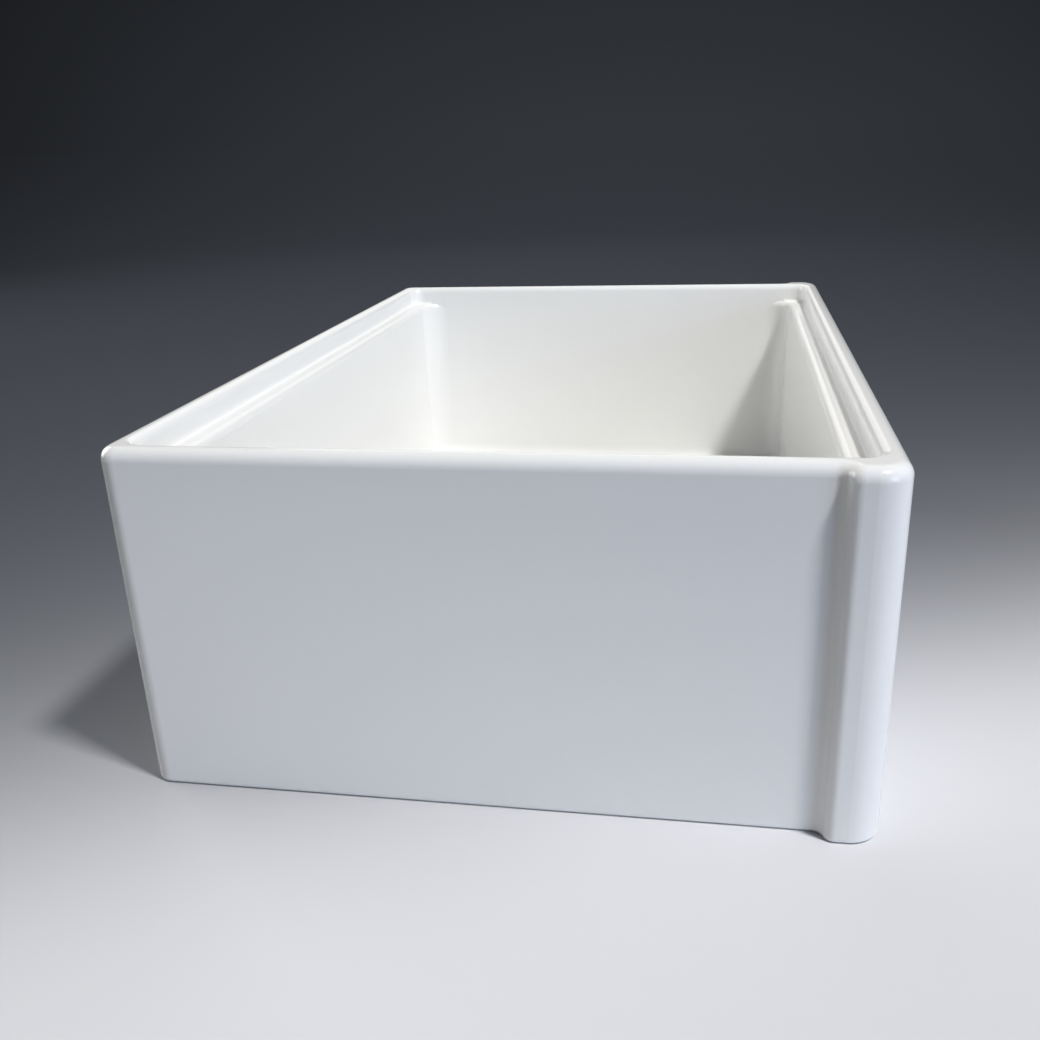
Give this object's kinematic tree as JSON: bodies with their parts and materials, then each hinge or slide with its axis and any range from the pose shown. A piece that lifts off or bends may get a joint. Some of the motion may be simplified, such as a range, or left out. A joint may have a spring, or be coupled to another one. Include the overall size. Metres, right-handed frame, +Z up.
{
  "type": "farmhouse apron front sink",
  "caption": "Glazed fireclay apron front kitchen sink with a deep bowl, inner workstation ledges and a basket strainer waste with a push-down plunger.",
  "frame": {"origin": "centre of the sink's footprint, on the surface that it stands on", "axes": "+X along the sink's length, -Y out of the apron's face, +Z up"},
  "size_m": [0.744, 0.512, 0.254],
  "materials": {
    "glazed_fireclay": "white gloss glaze",
    "stainless_steel": "fine brushed",
    "polished_steel": "polished",
    "grey_rubber": "matt",
    "black_rubber": "matt",
    "fibre_board": "pressed fibre, matt",
    "cast_zinc": "die-cast, matt",
    "white_acetal": "moulded, satin"
  },
  "bodies": {
    "sink": {"sink_body": "glazed_fireclay", "flange_gasket": "grey_rubber", "strainer_body": "stainless_steel", "outlet_cross": "stainless_steel", "rubber_washer": "black_rubber", "slip_ring": "fibre_board", "lock_nut": "cast_zinc"},
    "basket": {"basket_cup": "stainless_steel", "guide_bush": "white_acetal", "bush_o_ring": "black_rubber"},
    "plunger": {"plunger_post": "stainless_steel", "plunger_knob": "polished_steel", "backing_plate": "stainless_steel", "stopper_seal": "black_rubber", "stop_nut": "stainless_steel"}
  },
  "joints": [
    {"name": "basket_lift", "type": "slide", "parent": "sink", "child": "basket", "axis": [0, 0, 1], "range_m": [0, 0.255]},
    {"name": "stopper_lift", "type": "slide", "parent": "basket", "child": "plunger", "axis": [0, 0, 1], "range_m": [0, 0.0055]}
  ]
}
